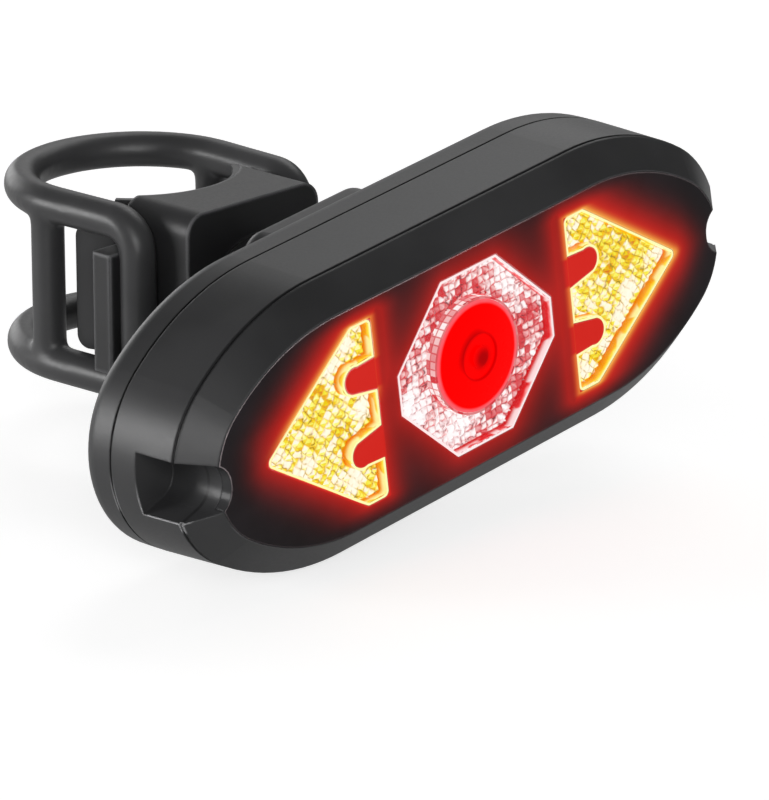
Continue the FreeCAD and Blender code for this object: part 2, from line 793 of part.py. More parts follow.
def saddle_pad():
    tabs = pad_sector(pad_tab_half_angle, pad_tab_half_height)
    edge_y = -post_radius * math.cos(math.radians(pad_tab_half_angle))
    corners = []
    for edge in tabs.Edges:
        bounds = edge.BoundBox
        level = bounds.ZLength < 1e-4 and abs(abs(bounds.ZMin) - pad_tab_half_height) < 1e-4
        if level and edge.Length < 1.5 * pad_thickness and bounds.YMax > edge_y - pad_tab_corner:
            corners.append(edge)
    tabs = tabs.makeFillet(pad_tab_corner, corners)
    return pad_sector(pad_half_angle, pad_half_height).fuse(tabs)


def strap_tangent(radius):
    # where the straight stretch from the strap's end meets the round stretch behind the post
    distance = math.hypot(strap_end_x, strap_end_y)
    length = math.sqrt(distance ** 2 - radius ** 2)
    base = math.atan2(strap_end_y, strap_end_x)
    angle = base + math.atan2(length, radius)
    return radius * math.cos(angle), radius * math.sin(angle)


def tube_bend(radius, start, centre, axis, degrees):
    # a round section at start, square to its path, turned about an axis through centre
    outward = Vec(*start) - Vec(*centre)
    disc = Part.Face(Part.Wire(Part.makeCircle(radius, Vec(*start), Vec(*axis).cross(outward))))
    return disc.revolve(Vec(*centre), Vec(*axis), degrees)


def strap_quarter():
    # upper right quarter: behind the post, along its side, round the corner and down the end bar
    ring = post_radius + strap_slack + strap_radius
    touch_x, touch_y = strap_tangent(ring)
    run = math.hypot(strap_end_x - touch_x, strap_end_y - touch_y)
    along_x = (strap_end_x - touch_x) / run
    along_y = (strap_end_y - touch_y) / run
    bend_x = strap_end_x - along_x * strap_corner
    bend_y = strap_end_y - along_y * strap_corner
    touch = (touch_x, touch_y, strap_level)
    bend = (bend_x, bend_y, strap_level)
    centre = (bend_x, bend_y, strap_level - strap_corner)
    back_degrees = 90.0 - math.degrees(math.atan2(touch_y, touch_x))
    bar = math.radians(strap_bar_angle)
    bar_x = ring * math.cos(bar)
    bar_y = ring * math.sin(bar)
    end_low = (strap_end_x, strap_end_y, 0.0)
    end_high = (strap_end_x, strap_end_y, strap_level - strap_corner)
    return [
        tube_bend(strap_radius, touch, (0.0, 0.0, strap_level), (0.0, 0.0, 1.0), back_degrees),
        rod(strap_radius, touch, bend),
        tube_bend(strap_radius, bend, centre, (-along_y, along_x, 0.0), 90.0),
        rod(strap_radius, end_low, end_high),
        rod(strap_bar_radius, (bar_x, bar_y, 0.0), (bar_x, bar_y, strap_level)),
    ]


def rubber_strap():
    quarter = joined(strap_quarter())
    upper = quarter.fuse(mirrored_x(quarter))
    return upper.fuse(mirrored_z(upper))


def in_row(shape):
    # from the lamp frame to the row frame: turned on the swivel, then set back from the post
    moved = shape.copy()
    moved.rotate(Vec(0.0, 0.0, 0.0), Vec(0.0, 1.0, 0.0), -lamp_turn)
    moved.translate(Vec(0.0, lens_plane_y, 0.0))
    return moved


def lamp_pieces():
    arrow = arrow_lens()
    return {
        "front_housing": housing(),
        "front_face": face_panel(),
        "hexagon_reflector": hexagon_reflector(),
        "brake_lens": brake_lens(),
        "arrow_lens_right": arrow,
        "arrow_lens_left": mirrored_x(arrow),
        "light_baffle": light_baffle(),
        "led_board": led_board(),
        "amber_leds": amber_leds(),
        "red_leds": red_leds(),
        "control_chip": control_chip(),
        "radio_receiver": radio_receiver(),
        "battery": battery(),
        "battery_tabs": battery_tabs(),
        "button_switch": button_switch(),
        "power_button": power_button(),
        "usb_socket": usb_socket(),
        "usb_cover": usb_cover(),
        "rear_cover": rear_cover(),
        "case_gasket": gasket_ring(seam_y),
        "case_screws": case_screws(),
        "clip_plate": clip_plate(),
    }


def bracket_pieces():
    return {
        "swivel_screw": swivel_screw(),
        "swivel_nut": swivel_nut(),
        "swivel_washer": swivel_washer(),
        "bracket_body": bracket_body(),
        "saddle_pad": saddle_pad(),
        "rubber_strap": rubber_strap(),
    }


os.makedirs("parts", exist_ok=True)
pieces = {name: in_row(shape) for name, shape in lamp_pieces().items()}
pieces.update(bracket_pieces())
for name, shape in pieces.items():
    shape.exportStep("parts/" + name + ".step")
    print(name, "solids", len(shape.Solids), "volume", round(shape.Volume, 1), "valid", shape.isValid())
print("lens plane at y", lens_plane_y, "bracket front at y", bracket_front_y)
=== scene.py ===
import math

import bmesh
import bpy
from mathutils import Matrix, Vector


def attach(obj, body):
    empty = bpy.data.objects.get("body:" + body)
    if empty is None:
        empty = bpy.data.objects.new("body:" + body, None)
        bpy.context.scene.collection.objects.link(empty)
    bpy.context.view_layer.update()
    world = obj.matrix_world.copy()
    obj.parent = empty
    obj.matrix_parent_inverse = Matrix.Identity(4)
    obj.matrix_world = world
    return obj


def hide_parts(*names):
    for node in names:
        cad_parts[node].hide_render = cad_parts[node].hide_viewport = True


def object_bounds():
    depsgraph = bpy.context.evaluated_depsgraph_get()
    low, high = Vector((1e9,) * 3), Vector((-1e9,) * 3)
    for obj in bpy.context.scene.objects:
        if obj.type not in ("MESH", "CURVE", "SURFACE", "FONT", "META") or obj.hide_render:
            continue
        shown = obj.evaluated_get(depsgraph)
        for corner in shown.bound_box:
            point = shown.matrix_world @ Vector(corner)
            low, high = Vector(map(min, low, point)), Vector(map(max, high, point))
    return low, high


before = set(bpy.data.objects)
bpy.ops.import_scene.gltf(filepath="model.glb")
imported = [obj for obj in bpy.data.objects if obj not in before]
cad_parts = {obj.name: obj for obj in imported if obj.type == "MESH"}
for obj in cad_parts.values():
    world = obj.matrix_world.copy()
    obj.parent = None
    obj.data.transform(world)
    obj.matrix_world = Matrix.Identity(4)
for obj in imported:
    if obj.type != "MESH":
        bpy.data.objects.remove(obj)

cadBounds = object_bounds()
print("stage: frame loaded")

# The lamp is drawn square in its own frame, in millimetres, and turned on its swivel behind the lens plane.
lampFrame = {"turn": 8.0, "lensPlane": -65.6}
turnCos = math.cos(math.radians(lampFrame["turn"]))
turnSin = math.sin(math.radians(lampFrame["turn"]))


def rowWay(x, y, z):
    # a direction in the lamp frame, given in the row frame
    return Vector((x * turnCos - z * turnSin, y, x * turnSin + z * turnCos))


def lampWay(way):
    # a direction in the row frame, given in the lamp frame
    x, y, z = way
    return Vector((x * turnCos + z * turnSin, y, z * turnCos - x * turnSin))


def toRow(x, y, z):
    return rowWay(x, y + lampFrame["lensPlane"], z) / 1000.0


def toLamp(point):
    return lampWay(point * 1000.0) - Vector((0.0, lampFrame["lensPlane"], 0.0))


def light(red, green, blue):
    # a colour as it is picked on screen, 0 to 255, made linear for the shader
    shares = [c / 255.0 for c in (red, green, blue)]
    return tuple(((s + 0.055) / 1.055) ** 2.4 if s > 0.04045 else s / 12.92 for s in shares) + (1.0,)


edgeContrast = 6.0
meshLook = {"weld": 2e-6, "flatDegrees": 0.3, "smoothDegrees": 30.0}


class Value:
    # shader sums written as plain expressions
    def __init__(self, board, socket):
        self.board = board
        self.socket = socket

    def __add__(self, other):
        return self.board.sum("ADD", self, other)

    def __sub__(self, other):
        return self.board.sum("SUBTRACT", self, other)

    def __rsub__(self, other):
        return self.board.sum("SUBTRACT", other, self)

    def __mul__(self, other):
        return self.board.sum("MULTIPLY", self, other)

    def __truediv__(self, other):
        return self.board.sum("DIVIDE", self, other)

    def __pow__(self, other):
        return self.board.sum("POWER", self, other)

    def __abs__(self):
        return self.board.sum("ABSOLUTE", self)

    __radd__ = __add__
    __rmul__ = __mul__


class Board:
    # one material's nodes, with the finish ready to be wired
    def __init__(self, name):
        self.material = bpy.data.materials.new(name)
        self.material.use_nodes = True
        self.nodes = self.material.node_tree.nodes
        self.links = self.material.node_tree.links
        self.nodes.clear()
        self.finish = self.nodes.new("ShaderNodeBsdfPrincipled")
        output = self.nodes.new("ShaderNodeOutputMaterial")
        self.links.new(self.finish.outputs[0], output.inputs[0])

    def feed(self, socket, value):
        if isinstance(value, Value):
            self.links.new(value.socket, socket)
        else:
            socket.default_value = value

    def add(self, kind, settings, inputs, output=0):
        node = self.nodes.new(kind)
        for key, value in settings.items():
            setattr(node, key, value)
        for key, value in inputs.items():
            self.feed(node.inputs[key], value)
        return Value(self, node.outputs[output])

    def sum(self, operation, *terms):
        return self.add("ShaderNodeMath", {"operation": operation}, dict(enumerate(terms)))

    def turn(self, operation, *terms, output=0):
        return self.add("ShaderNodeVectorMath", {"operation": operation}, dict(enumerate(terms)), output)

    def clamp(self, value):
        return self.add("ShaderNodeClamp", {}, {0: value})

    def span(self, value, low, high):
        # 0 below low, 1 above high, smooth between
        way = {"interpolation_type": "SMOOTHSTEP"}
        return self.add("ShaderNodeMapRange", way, {0: value, 1: low, 2: high})

    def blend(self, factor, first, second):
        node = self.nodes.new("ShaderNodeMix")
        node.data_type = "RGBA"
        for key, value in ((0, factor), (6, first), (7, second)):
            self.feed(node.inputs[key], value)
        return Value(self, node.outputs[2])

    def ramp(self, value, stops):
        node = self.nodes.new("ShaderNodeValToRGB")
        band = node.color_ramp
        while len(band.elements) < len(stops):
            band.elements.new(1.0)
        for element, (place, colour) in zip(band.elements, stops):
            element.position = place
            element.color = colour
        self.feed(node.inputs[0], value)
        return Value(self, node.outputs[0])

    def place(self):
        # row frame, in millimetres
        spot = self.add("ShaderNodeTexCoord", {}, {}, 3)
        return self.add("ShaderNodeMapping", {}, {0: spot, 3: (1000.0, 1000.0, 1000.0)})

    def lampPlace(self):
        # lamp frame, in millimetres
        spot = self.add("ShaderNodeTexCoord", {}, {}, 3)
        turn = (0.0, math.radians(lampFrame["turn"]), 0.0)
        move = (0.0, -lampFrame["lensPlane"], 0.0)
        return self.add("ShaderNodeMapping", {}, {0: spot, 1: move, 2: turn, 3: (1000.0, 1000.0, 1000.0)})

    def parts(self, vector):
        split = self.nodes.new("ShaderNodeSeparateXYZ")
        self.feed(split.inputs[0], vector)
        return [Value(self, split.outputs[i]) for i in range(3)]

    def noise(self, place, scale, detail):
        return self.add("ShaderNodeTexNoise", {}, {"Vector": place, "Scale": scale, "Detail": detail})

    def bump(self, height, strength, depth, normal=None):
        inputs = {"Strength": strength, "Distance": depth / 1000.0, "Height": height}
        if normal is not None:
            inputs["Normal"] = normal
        return self.add("ShaderNodeBump", {}, inputs)

    def edges(self, reach):
        # rounded normal, and a mask that is 1 on sharp edges
        rounded = self.add("ShaderNodeBevel", {"samples": 4}, {"Radius": reach / 1000.0})
        plain = self.add("ShaderNodeNewGeometry", {}, {}, 1)
        close = self.turn("DOT_PRODUCT", rounded, plain, output=1)
        return rounded, self.clamp((1.0 - close) * edgeContrast)

    def set(self, **values):
        for key, value in values.items():
            self.feed(self.finish.inputs[key.replace("_", " ")], value)

    def gloss(self, level):
        self.finish.inputs["Specular IOR Level"].default_value = level


def mouldedParts(board, place, look):
    # moulded plastic or rubber: cloudy colour, fine grain, and lighter edges that are partly scuffing and
    # partly a painted highlight
    cloud = board.noise(place, look["cloudScale"], 3.0)
    shade = board.blend(board.span(cloud, 0.3, 0.7), look["dark"], look["light"])
    rounded, edge = board.edges(look["edgeReach"])
    # pale colour on sharp edges: partly scuffing, partly a painted highlight
    shade = board.blend(edge * look["edgeWearAndSheen"], shade, look["edgeWearSheenColour"])
    grain = board.noise(place, look["grainScale"], 2.0)
    rough = look["rough"] + (cloud - 0.5) * look["roughShift"] + (grain - 0.5) * look["roughGrain"]
    bump = board.bump(grain, look["grainStrength"], look["grainDepth"], rounded)
    return shade, rough, bump, edge


def mouldedFinish(name, look):
    board = Board(name)
    shade, rough, normal = mouldedParts(board, board.place(), look)[:3]
    board.set(Base_Color=shade, Roughness=rough, Normal=normal)
    board.gloss(look["gloss"])
    return board.material


def dress(name, material):
    # a carried-over piece keeps its shape and gets its own finish
    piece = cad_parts[name]
    piece.data.materials.clear()
    piece.data.materials.append(material)


def edit(piece):
    # makes the piece active and opens it for editing
    if bpy.context.mode != "OBJECT":
        bpy.ops.object.mode_set(mode="OBJECT")
    bpy.ops.object.select_all(action="DESELECT")
    bpy.context.view_layer.objects.active = piece
    piece.select_set(True)
    bpy.ops.object.mode_set(mode="EDIT")


def done():
    bpy.ops.object.mode_set(mode="OBJECT")


def pick(piece, test):
    # selects the faces of the piece that pass the test
    bpy.ops.mesh.select_mode(type="FACE")
    bpy.ops.mesh.select_all(action="DESELECT")
    shape = bmesh.from_edit_mesh(piece.data)
    for face in shape.faces:
        if test(face):
            face.select_set(True)
    bmesh.update_edit_mesh(piece.data)


def copyOf(nodeName, pieceName):
    # the node's own shape, with its loose triangles joined into clean faces
    piece = bpy.data.objects.new(pieceName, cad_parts[nodeName].data.copy())
    bpy.context.scene.collection.objects.link(piece)
    piece.data.materials.clear()
    edit(piece)
    bpy.ops.mesh.select_all(action="SELECT")
    bpy.ops.mesh.remove_doubles(threshold=meshLook["weld"])
    bpy.ops.mesh.customdata_custom_splitnormals_clear()
    bpy.ops.mesh.dissolve_limited(angle_limit=math.radians(meshLook["flatDegrees"]))
    bpy.ops.mesh.normals_make_consistent(inside=False)
    return piece


def smooth():
    # closes the active piece and shades it smooth, except at its sharp edges
    done()
    bpy.ops.object.shade_smooth_by_angle(angle=math.radians(meshLook["smoothDegrees"]))


print("stage: tools ready")

# Lamp shell, both halves, and the clip
shellLook = {
    "dark": light(44, 44, 45), "light": light(56, 56, 57), "cloudScale": 0.05,
    "edgeReach": 0.35, "edgeWearAndSheen": 0.0, "edgeWearSheenColour": light(120, 120, 122),
    "grainScale": 2.6, "grainStrength": 0.3, "grainDepth": 0.02,
    "rough": 0.4, "roughShift": 0.1, "roughGrain": 0.12, "gloss": 0.4,
}
grooveLook = {
    # the grooves' near-black colour is painted shade
    "grooves": [(3.98, 4.52), (15.1, 15.55)], "soft": 0.06, "clear": (0.5, 0.9), "colour": light(8, 8, 8),
    "inNotch": 0.5, "notchLength": (46.0, 47.0), "notchHeight": (5.4, 6.2), "notchCalm": 0.7, "shellWearAndSheen": 0.5,
    # the pale colour for the notches' lower edges is a painted highlight, on the edges that face the light
    "sillHeight": (-3.6, 1.0), "sillDepth": (2.6, 4.0), "paleWearAndHighlight": light(215, 215, 217),
    "hollowDepth": (10.2, 10.4), "hollowLength": (53.4, 53.7),
}


def shellFinish(look, marks):
    # the shell's plastic, with painted shade in its two grooves, pale edges that are partly scuffing and
    # partly painted highlight, and a painted highlight on the notches' lower edges
    board = Board("bodyPlastic")
    x, y, z = board.parts(board.lampPlace())
    shade, rough, normal, edge = mouldedParts(board, board.place(), look)
    notch = board.span(abs(x), *marks["notchLength"]) * (1.0 - board.span(abs(z), *marks["notchHeight"]))
    sillHighlight = notch * (1.0 - board.span(z, *marks["sillHeight"])) * board.span(y, *marks["sillDepth"])
    inner = 1.0 - board.span(abs(x), *marks["hollowLength"])
    edge = edge * (1.0 - notch * inner * board.span(y, *marks["hollowDepth"]))
    # the shell's pale edges, partly scuffing and partly painted highlight, are calmed in the notches and
    # kept off the grooves
    shellWearAndSheen = marks["shellWearAndSheen"] * (1.0 - notch * marks["notchCalm"])
    near, far = marks["clear"]
    for low, high in marks["grooves"]:
        beside = board.span(y, low - far, low - near) * (1.0 - board.span(y, high + near, high + far))
        shellWearAndSheen = shellWearAndSheen * (1.0 - beside)
    shade = board.blend(edge * shellWearAndSheen, shade, look["edgeWearSheenColour"])
    # painted highlight along the lower edge of each notch
    shade = board.blend(edge * sillHighlight, shade, marks["paleWearAndHighlight"])
    # painted shade: the grooves are filled with near-black, lighter inside the notches
    for low, high in marks["grooves"]:
        inside = board.span(y, low, low + marks["soft"]) * (1.0 - board.span(y, high - marks["soft"], high))
        shade = board.blend(inside * (1.0 - notch * marks["inNotch"]), shade, marks["colour"])
    board.set(Base_Color=shade, Roughness=rough, Normal=normal)
    board.gloss(look["gloss"])
    return board.material


bodyPlastic = shellFinish(shellLook, grooveLook)

for name in ("front_housing", "rear_cover", "clip_plate"):
    dress(name, bodyPlastic)
print("stage: shell")

# Smoked face with the light that spills through it
faceLook = {
    # rim is the colour of a painted highlight along the face's edge
    "smoke": light(40, 36, 39), "deep": light(33, 30, 32), "rim": light(230, 215, 218),
    "side": light(56, 56, 57),
    "spill": [(0.0, (0.0, 0.0, 0.0, 1.0)), (0.5, (0.32, 0.003, 0.0, 1.0)),
              (1.0, (0.64, 0.009, 0.002, 1.0))],
    "orange": (0.9, 0.4, 0.06, 1.0), "fringeReach": 0.58, "fringeFall": 1.6, "fringeStart": 0.03,
    "arrowReach": 3.25, "arrowFall": 1.75, "arrowEase": 1.2, "edgeEase": 0.46,
    "hexagonReach": 2.6, "hexagonShare": 0.62, "between": 2.4, "middle": (17.8, 19.4),
    "dimLeft": 1.6, "dimStart": (0.0, 0.5), "lowLeftHeight": (0.0, 5.0), "lowLeftLength": (-1.0, 1.0),
    "prong": (2.6, 3.2), "prongGap": (6.8, 7.4), "outer": (19.0, 20.0), "prongShare": 0.5,
    "haze": 0.12, "hazeShare": 0.16, "burnt": 0.25, "front": (0.6, 0.9),
    "rimReach": 0.35, "rimHeight": (-6.0, 4.0), "rimLength": (5.0, 22.0), "rimFade": 0.7, "rimLow": 0.15,
    "rough": 0.2, "roughGrain": 0.06, "grain": 6.0, "bump": (0.08, 0.02), "gloss": 0.1,
}
# Half lengths and heights of the windows, and the directions of their slanted sides
arrowWindow = {"tip": 41.0, "height": 13.0, "start": 19.2, "steep": 1.8, "slant": (0.5898, 0.8076),
               "blunt": 0.83}
hexagonWindow = {"length": 15.3, "height": 12.9, "corner": 2.9, "slant": (0.7142, 0.6999)}


def outside(board, sides):
    # distance from a window with straight sides, round at its corners
    total = 0.0
    for side in sides:
        over = board.sum("MAXIMUM", side, 0.0)
        total = over * over + total
    return board.sum("SQRT", total)


def arrowDistance(board, x, z, ease):
    # the size of z is rounded off near zero by ease, which rounds the arrow's tip
    shape = arrowWindow
    along, up = shape["slant"]
    away = board.sum("SQRT", z * z + ease * ease)
    beyond = abs(x) - shape["tip"]
    return outside(board, [(away - shape["height"]) * shape["steep"], shape["start"] - abs(x),
                           beyond * along + away * up, beyond * shape["blunt"]])


def hexagonDistance(board, x, z):
    shape = hexagonWindow
    along, up = shape["slant"]
    beyond = abs(x) - shape["length"]
    corner = beyond * along + (abs(z) - shape["corner"]) * up
    return outside(board, [beyond, abs(z) - shape["height"], corner])


def smokedFace(look):
    board = Board("smokedFace")
    place = board.lampPlace()
    x, y, z = board.parts(place)
    toEdge = arrowDistance(board, x, z, look["edgeEase"])
    # the glow is weaker under the left arrow, and even between the arrows and the hexagon
    lowLeft = (1.0 - board.span(z, *look["lowLeftHeight"])) * (1.0 - board.span(x, *look["lowLeftLength"]))
    middle = 1.0 - board.span(abs(x), *look["middle"])
    toArrow = arrowDistance(board, x, z, look["arrowEase"])
    toArrow = toArrow + lowLeft * look["dimLeft"] * board.span(toEdge, *look["dimStart"])
    toArrow = board.sum("MAXIMUM", toArrow, middle * look["between"])
    nearArrow = board.sum("EXPONENT", (toArrow / look["arrowReach"]) ** look["arrowFall"] * -1.0)
    toHexagon = hexagonDistance(board, x, z)
    nearHexagon = board.sum("EXPONENT", toHexagon / -look["hexagonReach"]) * look["hexagonShare"]
    haze = board.noise(place, look["haze"], 2.0)
    share = (haze - 0.5) * look["hazeShare"] + 1.0
    glow = board.clamp((nearArrow + nearHexagon - nearArrow * nearHexagon) * share)
    way = board.parts(board.add("ShaderNodeTexCoord", {}, {}, 1))
    front = board.span(way[1] * -1.0, *look["front"])
    spill = board.ramp(glow, look["spill"])
    # a thin orange line beside the arrows, weaker between their prongs
    fringe = board.sum("EXPONENT", (toEdge / look["fringeReach"]) ** look["fringeFall"] * -1.0)
    fringe = fringe * board.span(toEdge, 0.0, look["fringeStart"])
    prong = 1.0 - board.span(abs(z), *look["prong"]) * (1.0 - board.span(abs(z), *look["prongGap"]))
    outer = board.span(abs(x), *look["outer"])
    fringe = fringe * (outer + (1.0 - outer) * prong * look["prongShare"]) * (1.0 - lowLeft)
    spill = board.blend(fringe, spill, look["orange"])
    spill = board.blend(front, light(0, 0, 0), spill)
    fine = board.noise(place, look["grain"], 2.0)
    tone = board.blend(board.span(haze, 0.3, 0.7), look["deep"], look["smoke"])
    tone = board.blend(glow * look["burnt"], tone, light(0, 0, 0))
    rounded, edge = board.edges(look["rimReach"])
    # painted highlight along the face's edge, strongest at the top and left, where light falls
    rimHighlight = board.span(z, *look["rimHeight"]) * (1.0 - board.span(x, *look["rimLength"]) * look["rimFade"])
    rimHighlight = rimHighlight * (1.0 - look["rimLow"]) + look["rimLow"]
    tone = board.blend(edge * rimHighlight * front, tone, look["rim"])
    tone = board.blend(front, look["side"], tone)
    strength, depth = look["bump"]
    bump = board.bump(fine, strength, depth, rounded)
    board.set(Base_Color=tone, Roughness=look["rough"] + (fine - 0.5) * look["roughGrain"], Normal=bump,
              Emission_Color=spill, Emission_Strength=1.0)
    board.gloss(look["gloss"])
    return board.material


dress("front_face", smokedFace(faceLook))
print("stage: face")

# Prism lenses: the front is opened to a thin rim, sunk, and its floor cut into rows of small pyramids
prismLook = {"rim": 0.3, "depth": 1.8, "pitch": 1.1, "height": 0.4, "reach": 45.0}
facesLook = {"slack": 0.05, "front": 0.01, "low": 0.02, "forward": -0.9, "leaning": -0.2, "upright": 0.1}


def bedFace(face, depth):
    # a face that looks forward and lies at this depth behind the lens plane
    near = abs(toLamp(face.calc_center_median()).y - depth) < facesLook["slack"]
    return near and lampWay(face.normal).y < facesLook["forward"]


def prismLens(nodeName, pieceName, angles, look):
    lens = copyOf(nodeName, pieceName)
    pick(lens, lambda face: bedFace(face, 0.0))
    bpy.ops.mesh.inset(thickness=look["rim"] / 1000.0, use_even_offset=True)
    bpy.ops.mesh.extrude_region_move(
        MESH_OT_extrude_region={"use_normal_flip": False},
        TRANSFORM_OT_translate={"value": (0.0, look["depth"] / 1000.0, 0.0)})
    count = int(look["reach"] / look["pitch"])
    for angle in angles:
        across = (math.cos(math.radians(angle)), math.sin(math.radians(angle)))
        for step in range(-count, count + 1):
            offset = step * look["pitch"]
            pick(lens, lambda face: bedFace(face, look["depth"]))
            bpy.ops.mesh.bisect(plane_co=toRow(across[0] * offset, 0.0, across[1] * offset),
                                plane_no=rowWay(across[0], 0.0, across[1]))
    pick(lens, lambda face: bedFace(face, look["depth"]))
    bpy.ops.mesh.poke(offset=look["height"] / 1000.0)
    done()
    return lens


def markFaces(lens, look, materials):
    # 0 clear block, 1 rim and sides of the well, 2 prisms
    for material in materials:
        lens.data.materials.append(material)
    highest = look["depth"] - look["height"] - facesLook["slack"]
    for face in lens.data.polygons:
        depth = toLamp(face.center).y
        way = lampWay(face.normal).y
        if depth < facesLook["front"] and way < facesLook["forward"]:
            face.material_index = 1
        elif 0.0 < depth < look["depth"] and abs(way) < facesLook["upright"]:
            face.material_index = 1
        elif highest < depth < look["depth"] + facesLook["low"] and way < facesLook["leaning"]:
            face.material_index = 2


def hotSpots(board, x, z, spots, spread):
    total = 0.0
    for spotX, spotZ in spots:
        far = (x - spotX) * (x - spotX) + (z - spotZ) * (z - spotZ)
        total = board.sum("EXPONENT", far * (-1.0 / (2.0 * spread * spread))) + total
    return total


arrowLook = {
    "angle": 45.0, "base": 0.6, "chance": 0.75, "sway": 1.6, "spotSpread": 0.95,
    "gap": light(234, 168, 0), "gapStrength": 0.75, "gapFrom": 0.3, "line": light(150, 134, 10),
    "stops": [(0.0, light(216, 120, 0)), (0.2, light(232, 174, 0)), (0.38, light(238, 212, 14)),
              (0.56, light(246, 240, 72)), (0.74, light(252, 255, 150)), (0.9, light(255, 255, 222)),
              (1.0, light(255, 255, 242))],
    "wall": [(0.0, light(255, 250, 180)), (0.16, light(255, 228, 70)), (0.4, light(248, 168, 10)),
             (1.0, light(232, 110, 0))],
}
hexagonLook = {
    "angle": 0.0, "base": 0.5, "chance": 0.9, "sway": 1.6, "spotSpread": 2.6,
    "gap": light(210, 50, 58), "gapStrength": 0.9, "gapFrom": 0.2, "line": light(96, 50, 58),
    "stops": [(0.0, light(196, 18, 26)), (0.24, light(210, 62, 68)), (0.42, light(222, 118, 122)),
              (0.58, light(240, 184, 184)), (0.76, light(253, 238, 236)), (1.0, light(255, 255, 255))],
    "wall": [(0.0, light(255, 235, 235)), (0.14, light(250, 150, 150)), (0.34, light(226, 30, 36)),
             (1.0, light(196, 12, 20))],
}
# Bright spots in front of the light sources, x and z in the lamp frame
brightSpots = {
    "Left": [(-22.5, 10.2), (-25.7, 7.9), (-20.8, 0.6), (-37.6, -0.1), (-31.5, -4.0), (-23.7, -9.5)],
    "Right": [(39.5, 0.1), (32.8, -2.9), (29.7, -5.5), (26.7, -8.9), (22.5, -10.9), (20.6, -0.4)],
    "hexagon": [(9.0, 9.0), (-12.0, -4.0), (-4.0, -10.5)],
}
glowLook = {
    "dark": light(12, 8, 4), "swayScale": 0.55, "swayDetail": 1.0, "facetWay": (-0.55, 0.8),
    "facetShare": 0.45, "patch": 0.22, "patchShare": 1.2, "spotShare": 0.9,
    "grain": 1.5, "grainShare": 1.2, "open": 1.35, "openFall": 0.75,
    "gapTo": 0.46, "line": (0.44, 0.48), "lineGrain": (0.42, 0.58),
    "rough": 0.15, "roughShift": 0.1, "gloss": 0.25,
}
wallLook = {
    "dark": light(12, 6, 4), "wave": 0.9, "waveShare": 0.5, "waveFrom": (0.05, 0.4),
    "paintedGlint": 0.3, "dashSpan": (0.5, 0.56), "dashDepth": (0.3, 0.8), "dashShare": 0.85, "round": (8.3, 8.6),
    "rough": 0.12, "roughShift": 0.1, "gloss": 0.25,
}
cellLook = {"radius": 8.0, "low": 0.2, "chance": 0.75, "gap": (0.34, 0.48), "gapShare": 0.8}


def cellsOf(board, u, v, seed):
    # a chance for each cell of the pattern, and how far a point is from the cell's middle
    corner = {0: board.sum("FLOOR", u), 1: board.sum("FLOOR", v), 2: seed}
    cell = board.add("ShaderNodeCombineXYZ", {}, corner)
    chance = board.add("ShaderNodeTexWhiteNoise", {"noise_dimensions": "3D"}, {0: cell})
    off = board.sum("MAXIMUM", abs(board.sum("FRACT", u) - 0.5), abs(board.sum("FRACT", v) - 0.5))
    return chance, off


def prismGlow(name, look, spots):
    common = glowLook
    board = Board(name)
    place = board.lampPlace()
    x, y, z = board.parts(place)
    turn = math.radians(look["angle"])
    sway = (board.noise(place, common["swayScale"], common["swayDetail"]) - 0.5) * look["sway"]
    u = (x * math.cos(turn) + z * math.sin(turn)) / prismLook["pitch"] + sway
    v = (z * math.cos(turn) - x * math.sin(turn)) / prismLook["pitch"] - sway
    chance, off = cellsOf(board, u, v, 3.7)
    # painted light and shade: each prism face is brighter or darker by how it faces a fixed upper-left
    # direction
    normal = board.add("ShaderNodeTexCoord", {}, {}, 1)
    wayX, wayZ = common["facetWay"]
    facetShading = board.turn("DOT_PRODUCT", normal, tuple(rowWay(wayX, 0.0, wayZ)), output=1)
    patch = board.noise(place, common["patch"], 2.0)
    level = look["base"] + (patch - 0.5) * common["patchShare"] + facetShading * common["facetShare"]
    level = level + (chance - 0.5) * look["chance"]
    level = level + hotSpots(board, x, z, spots, look["spotSpread"]) * common["spotShare"]
    colour = board.ramp(board.clamp(level), look["stops"])
    grain = board.noise(place, common["grain"], 2.0)
    openShare = common["open"] - level * common["openFall"] + (grain - 0.5) * common["grainShare"]
    openShare = board.clamp(openShare)
    gap = board.span(off, look["gapFrom"], common["gapTo"]) * openShare * look["gapStrength"]
    colour = board.blend(gap, colour, look["gap"])
    line = board.span(off, *common["line"]) * board.span(grain, *common["lineGrain"]) * openShare
    colour = board.blend(line, colour, look["line"])
    board.set(Base_Color=common["dark"], Roughness=common["rough"] + chance * common["roughShift"],
              Emission_Color=colour, Emission_Strength=1.0)
    board.gloss(common["gloss"])
    return board.material


def roundCells(board, x, y, z, look):
    # the round wall beside the brake lens shows the same small cells as the prisms
    around = board.sum("ARCTAN2", z, x) * (cellLook["radius"] / prismLook["pitch"])
    chance, off = cellsOf(board, around, y / prismLook["pitch"], 1.9)
    colour = board.ramp(chance * cellLook["chance"] + cellLook["low"], look["stops"])
    return board.blend(board.span(off, *cellLook["gap"]) * cellLook["gapShare"], colour, look["gap"])


